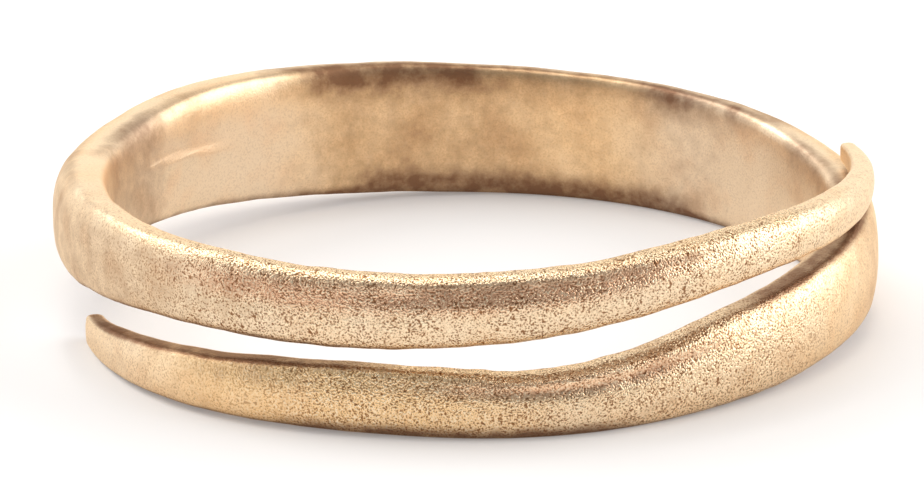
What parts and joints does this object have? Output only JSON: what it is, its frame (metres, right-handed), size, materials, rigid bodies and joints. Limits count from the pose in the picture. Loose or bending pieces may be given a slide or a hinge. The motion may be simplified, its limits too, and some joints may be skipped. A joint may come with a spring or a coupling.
{
  "type": "finger ring",
  "caption": "Open finger ring coiled from a tapering strip of wrought bronze, wide at the back, with slim blunt ends that pass each other at the front.",
  "frame": {"origin": "on the plane that the ring lies on, under the middle of the finger hole", "axes": "+Z along the finger, up from that plane; +Y towards the wide back of the strip, so the passing ends face -Y; +X to the right as seen from the passing ends"},
  "size_m": [0.0216, 0.0211, 0.0047],
  "materials": {
    "bronze": "wrought bronze, rubbed and finely pitted, satin"
  },
  "bodies": {
    "root": {"ring_band": "bronze"}
  },
  "joints": []
}
